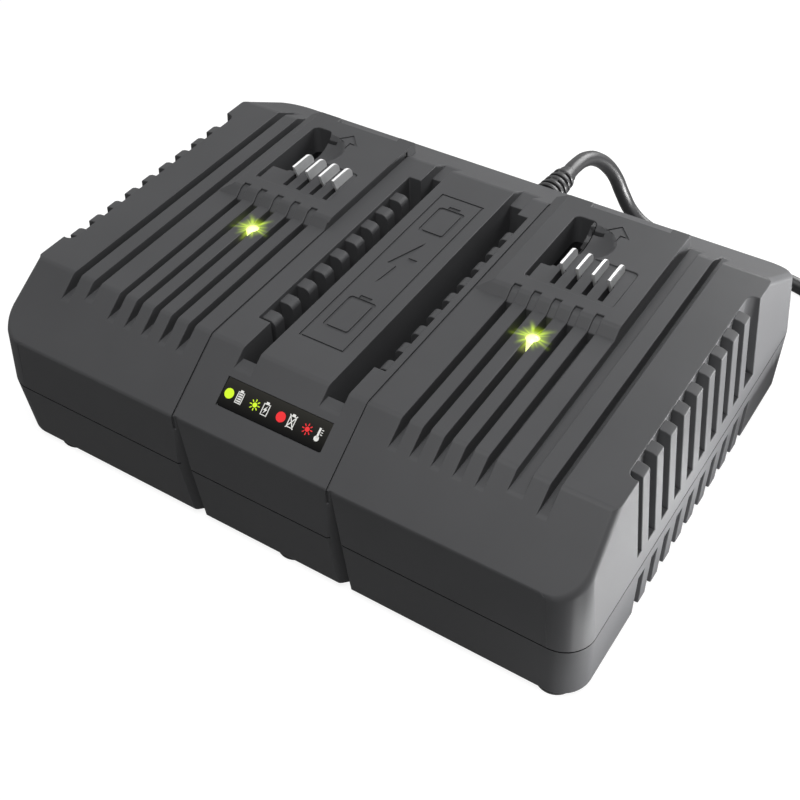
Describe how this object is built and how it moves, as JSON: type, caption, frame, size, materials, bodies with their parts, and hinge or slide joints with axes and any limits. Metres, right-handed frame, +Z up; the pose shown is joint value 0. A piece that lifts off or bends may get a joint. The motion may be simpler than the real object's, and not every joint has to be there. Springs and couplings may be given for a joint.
{
  "type": "battery charger",
  "caption": "Twin slide-on power tool battery charger with grooved bays, blade contacts, vented channels and sides, sloped status panel and mains cord.",
  "frame": {"origin": "on the surface the feet stand on, under the middle of the housing", "axes": "+Z up, +X to the right as seen from the front slope with the status panel, +Y towards the rear where the cord leaves"},
  "size_m": [0.3655, 0.2389, 0.0775],
  "materials": {
    "case": "fine spark texture",
    "terminal_plastic": "satin",
    "rubber": "matt",
    "screw_steel": "zinc plated",
    "contact_metal": "nickel plated",
    "lens": "translucent, lit",
    "led": "clear epoxy",
    "board": "solder mask",
    "label": "printed film",
    "ferrite": "sintered",
    "copper": "enamelled copper",
    "iron_powder": "coated core",
    "capacitor_blue": "shrink sleeve",
    "capacitor_black": "shrink sleeve",
    "capacitor_yellow": "potted box",
    "heat_sink": "extruded",
    "package": "moulded epoxy",
    "fuse_glass": "clear",
    "header_nylon": "nylon",
    "bay_wire": "silicone",
    "mains_wire": "pvc",
    "cord": "pvc sheath",
    "tie": "hook and loop",
    "prong": "bare metal"
  },
  "bodies": {
    "root": {"upper_housing": "case", "lower_housing": "case", "rubber_feet": "rubber", "housing_screws": "screw_steel", "left_terminal_block": "terminal_plastic", "right_terminal_block": "terminal_plastic", "left_blades": "contact_metal", "right_blades": "contact_metal", "terminal_screws": "screw_steel", "left_lamp_lens": "lens", "right_lamp_lens": "lens", "indicator_boards": "board", "indicator_leds": "led", "status_label": "label", "main_board": "board", "board_screws": "screw_steel", "transformer_core": "ferrite", "transformer_winding": "copper", "bulk_capacitors": "capacitor_blue", "output_capacitors": "capacitor_black", "filter_capacitor": "capacitor_yellow", "filter_choke_core": "ferrite", "filter_choke_winding": "copper", "output_choke_cores": "iron_powder", "output_choke_windings": "copper", "left_heat_sink": "heat_sink", "right_heat_sink": "heat_sink", "power_transistors": "package", "bridge_rectifier": "package", "fuse": "fuse_glass", "fuse_clips": "screw_steel", "control_chips": "package", "terminal_headers": "header_nylon", "left_bay_wires": "bay_wire", "right_bay_wires": "bay_wire", "mains_header": "header_nylon", "mains_wires": "mains_wire", "strain_relief": "rubber", "power_cord": "cord", "cord_coil": "cord", "cord_tail": "cord", "cord_tie": "tie", "plug_body": "rubber", "plug_prongs": "prong"}
  },
  "joints": []
}
